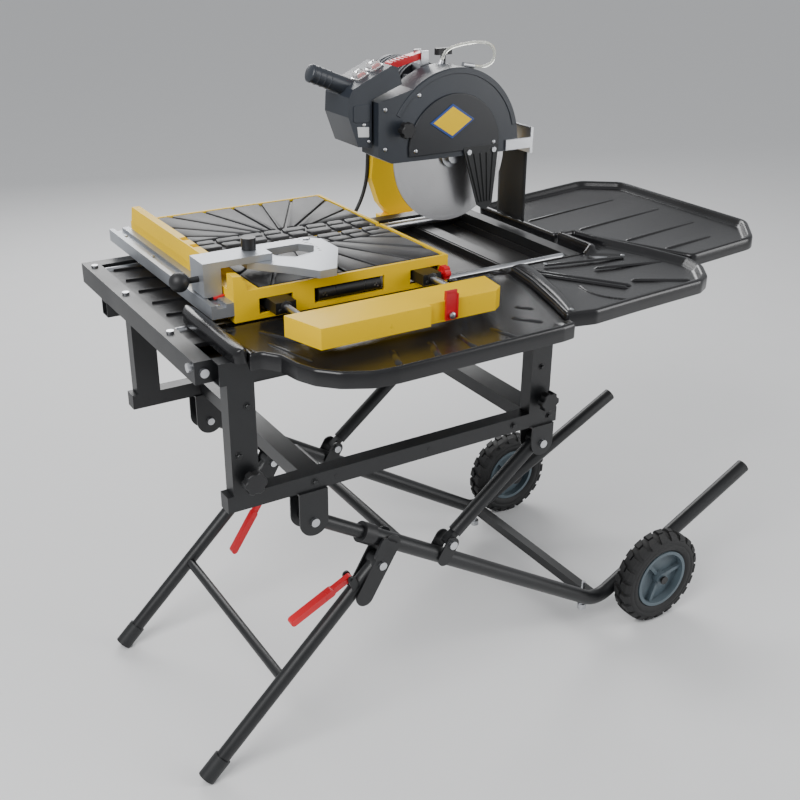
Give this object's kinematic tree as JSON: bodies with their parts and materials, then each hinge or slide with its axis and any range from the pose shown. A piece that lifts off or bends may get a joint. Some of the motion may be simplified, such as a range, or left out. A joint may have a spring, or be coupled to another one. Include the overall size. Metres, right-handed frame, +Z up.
{
  "type": "wet tile saw",
  "caption": "Wet tile saw: a sliding cart with fence and angle guide under a plunging blade head, with drip trays, on a folding two-wheeled tube stand.",
  "frame": {"origin": "on the floor, under the middle of the whole machine's outline", "axes": "+X is the cutting direction, from the operator's end towards the wheels; +Y runs across the cart towards the head's column; +Z is up"},
  "size_m": [1.2971, 0.807, 1.148],
  "materials": {
    "black_steel": "black powder coat, satin",
    "yellow_paint": "yellow enamel on castings, gloss",
    "black_plastic": "black plastic, matte",
    "tray_plastic": "black moulded plastic, semi-gloss",
    "zinc_steel": "zinc plated steel",
    "blade_steel": "ground steel blade",
    "cast_grey": "die-cast aluminium, satin",
    "mat_rubber": "ribbed black rubber",
    "rubber": "black rubber",
    "tyre": "solid black rubber tyre",
    "hub_plastic": "blue-grey plastic wheel centre",
    "red_plastic": "red plastic, gloss",
    "charcoal": "charcoal plastic, satin",
    "charcoal_cast": "charcoal painted casting",
    "motor_grey": "grey motor casing",
    "switch_red": "rocker under a clear cover",
    "clear_hose": "clear soft tube",
    "cord_rubber": "black cable jacket"
  },
  "bodies": {
    "stand": {"stand_rails": "black_steel", "rail_end_caps": "black_plastic", "pivot_brackets": "black_steel", "frame_bolts": "zinc_steel", "frame_posts": "black_steel", "saw_frame": "black_steel", "guide_rails": "zinc_steel", "water_pan": "black_plastic", "front_tray": "tray_plastic", "right_tray": "tray_plastic", "rear_tray": "tray_plastic", "head_column": "yellow_paint", "head_shaft": "zinc_steel", "power_cord": "cord_rubber"},
    "clamp_knob_left": {"post_knob_left": "black_plastic"},
    "clamp_knob_right": {"post_knob_right": "black_plastic"},
    "inner_tube_pair": {"inner_tubes": "black_steel"},
    "long_tube_frame": {"long_tubes": "black_steel", "tube_collars": "black_plastic", "tube_cross_members": "black_steel", "tube_bolts": "zinc_steel"},
    "struts": {"strut_tubes": "black_steel"},
    "legs": {"leg_frame": "black_steel", "foot_caps": "rubber"},
    "front_lever": {"latch_lever_front": "red_plastic"},
    "rear_lever": {"latch_lever_rear": "red_plastic"},
    "front_wheel": {"wheel_hub_front": "hub_plastic", "wheel_tyre_front": "tyre"},
    "rear_wheel": {"wheel_hub_rear": "hub_plastic", "wheel_tyre_rear": "tyre"},
    "cart": {"cart_casting": "yellow_paint", "cart_mats": "mat_rubber", "cart_fence": "yellow_paint", "fence_ruler": "cast_grey", "cart_fittings": "black_steel"},
    "left_rollers": {"cart_rollers_left": "black_plastic"},
    "right_rollers": {"cart_rollers_right": "black_plastic"},
    "extension": {"extension_bar": "yellow_paint", "extension_rods": "zinc_steel"},
    "flip_stop": {"extension_latch": "red_plastic"},
    "rod_knob": {"extension_knob": "red_plastic"},
    "guide": {"guide_block": "cast_grey"},
    "guide_clamp": {"guide_lock_knob": "black_plastic"},
    "protractor": {"guide_sector": "cast_grey"},
    "protractor_knob": {"angle_knob": "black_plastic"},
    "head": {"blade_guard": "charcoal", "gear_housing": "charcoal_cast", "motor_can": "motor_grey", "control_housing": "charcoal", "front_grip": "charcoal", "splash_flaps": "rubber", "head_fittings": "zinc_steel", "water_hose": "clear_hose"},
    "blade": {"saw_blade": "blade_steel", "arbor": "zinc_steel"},
    "panel_knob": {"guard_knob": "black_plastic"},
    "left_switch": {"switch_1": "switch_red"},
    "right_switch": {"switch_2": "switch_red"},
    "lift_lever": {"release_lever": "red_plastic"},
    "depth_stop": {"depth_knob": "black_plastic"}
  },
  "joints": [
    {"name": "left_clamp_turn", "type": "hinge", "parent": "stand", "child": "clamp_knob_left", "pos_m": [-0.532, -0.241, 0.577], "axis": [0, -1, 0], "range_deg": [0, 360]},
    {"name": "right_clamp_turn", "type": "hinge", "parent": "stand", "child": "clamp_knob_right", "pos_m": [0.043, -0.241, 0.577], "axis": [0, -1, 0], "range_deg": [0, 360]},
    {"name": "stand_fold", "type": "hinge", "parent": "stand", "child": "inner_tube_pair", "pos_m": [-0.425, 0, 0.467], "axis": [0, -1, 0], "range_deg": [0, 12]},
    {"name": "tube_telescope", "type": "slide", "parent": "inner_tube_pair", "child": "long_tube_frame", "axis": [0.8508, 0, -0.5255], "range_m": [-0.0715, 0]},
    {"name": "strut_swing", "type": "hinge", "parent": "stand", "child": "struts", "pos_m": [0.046, 0, 0.487], "axis": [0, -1, 0], "range_deg": [-24, 0]},
    {"name": "leg_fold", "type": "hinge", "parent": "long_tube_frame", "child": "legs", "pos_m": [-0.296, 0, 0.338], "axis": [0, -1, 0], "range_deg": [0, 100]},
    {"name": "front_latch_turn", "type": "hinge", "parent": "legs", "child": "front_lever", "pos_m": [-0.352, -0.217, 0.322], "axis": [0, 1, 0], "range_deg": [0, 40]},
    {"name": "rear_latch_turn", "type": "hinge", "parent": "long_tube_frame", "child": "rear_lever", "pos_m": [-0.328, 0.188, 0.274], "axis": [0, 1, 0], "range_deg": [0, 40]},
    {"name": "front_wheel_spin", "type": "hinge", "parent": "long_tube_frame", "child": "front_wheel", "pos_m": [0.363, -0.26, 0.102], "axis": [0, 1, 0], "continuous": true},
    {"name": "rear_wheel_spin", "type": "hinge", "parent": "long_tube_frame", "child": "rear_wheel", "pos_m": [0.363, 0.26, 0.102], "axis": [0, 1, 0], "continuous": true},
    {"name": "cart_slide", "type": "slide", "parent": "stand", "child": "cart", "axis": [1, 0, 0], "range_m": [0, 0.3], "deforming": ["splash_flaps"]},
    {"name": "left_roller_spin", "type": "hinge", "parent": "cart", "child": "left_rollers", "pos_m": [-0.456, 0, 0.79005], "axis": [0, 1, 0], "continuous": true},
    {"name": "right_roller_spin", "type": "hinge", "parent": "cart", "child": "right_rollers", "pos_m": [-0.112, 0, 0.79005], "axis": [0, 1, 0], "continuous": true},
    {"name": "extension_slide", "type": "slide", "parent": "cart", "child": "extension", "axis": [0, -1, 0], "range_m": [-0.085, 0.05]},
    {"name": "flip_stop_turn", "type": "hinge", "parent": "extension", "child": "flip_stop", "pos_m": [-0.212, -0.299, 0.808], "axis": [0, 1, 0], "range_deg": [0, 90]},
    {"name": "rod_knob_turn", "type": "hinge", "parent": "cart", "child": "rod_knob", "pos_m": [-0.12, -0.119, 0.806], "axis": [1, 0, 0], "range_deg": [0, 360]},
    {"name": "guide_slide", "type": "slide", "parent": "cart", "child": "guide", "axis": [0, 1, 0], "range_m": [0, 0.09]},
    {"name": "guide_clamp_turn", "type": "hinge", "parent": "guide", "child": "guide_clamp", "pos_m": [-0.52, -0.04, 0.842], "axis": [1, 0, 0], "range_deg": [0, 360]},
    {"name": "guide_angle", "type": "hinge", "parent": "guide", "child": "protractor", "pos_m": [-0.424, -0.024, 0.855], "axis": [0, 0, 1], "range_deg": [-45, 0]},
    {"name": "angle_knob_turn", "type": "hinge", "parent": "guide", "child": "protractor_knob", "pos_m": [-0.424, -0.024, 0.88], "axis": [0, 0, 1], "range_deg": [0, 360]},
    {"name": "head_plunge", "type": "hinge", "parent": "stand", "child": "head", "pos_m": [0.195, 0.3, 1.003], "axis": [0, -1, 0], "range_deg": [-15, 5], "deforming": ["splash_flaps", "power_cord"]},
    {"name": "blade_spin", "type": "hinge", "parent": "head", "child": "blade", "pos_m": [0.073, 0.13, 0.942], "axis": [0, 1, 0], "continuous": true},
    {"name": "panel_knob_turn", "type": "hinge", "parent": "head", "child": "panel_knob", "pos_m": [-0.055, 0.089, 1.009], "axis": [0, -1, 0], "range_deg": [0, 360]},
    {"name": "left_switch_rock", "type": "hinge", "parent": "head", "child": "left_switch", "pos_m": [-0.116, 0.146, 1.1003], "axis": [0, 1, 0], "range_deg": [-6, 6]},
    {"name": "right_switch_rock", "type": "hinge", "parent": "head", "child": "right_switch", "pos_m": [-0.086, 0.146, 1.1138], "axis": [0, 1, 0], "range_deg": [-6, 6]},
    {"name": "lift_lever_press", "type": "hinge", "parent": "head", "child": "lift_lever", "pos_m": [0.034, 0.179, 1.125], "axis": [0, -1, 0], "range_deg": [0, 10], "stiffness_Nm_per_rad": 1.5, "springref_deg": -11.46},
    {"name": "depth_stop_turn", "type": "hinge", "parent": "head", "child": "depth_stop", "pos_m": [0.084, 0.178, 1.1], "axis": [0, 0, 1], "range_deg": [0, 360]}
  ],
  "couplings": [
    {"joint": "tube_telescope", "follows": "stand_fold", "m_per_rad": -0.34},
    {"joint": "strut_swing", "follows": "stand_fold", "ratio": -1.95},
    {"joint": "left_roller_spin", "follows": "cart_slide", "rad_per_m": 71.43},
    {"joint": "right_roller_spin", "follows": "cart_slide", "rad_per_m": 71.43}
  ]
}
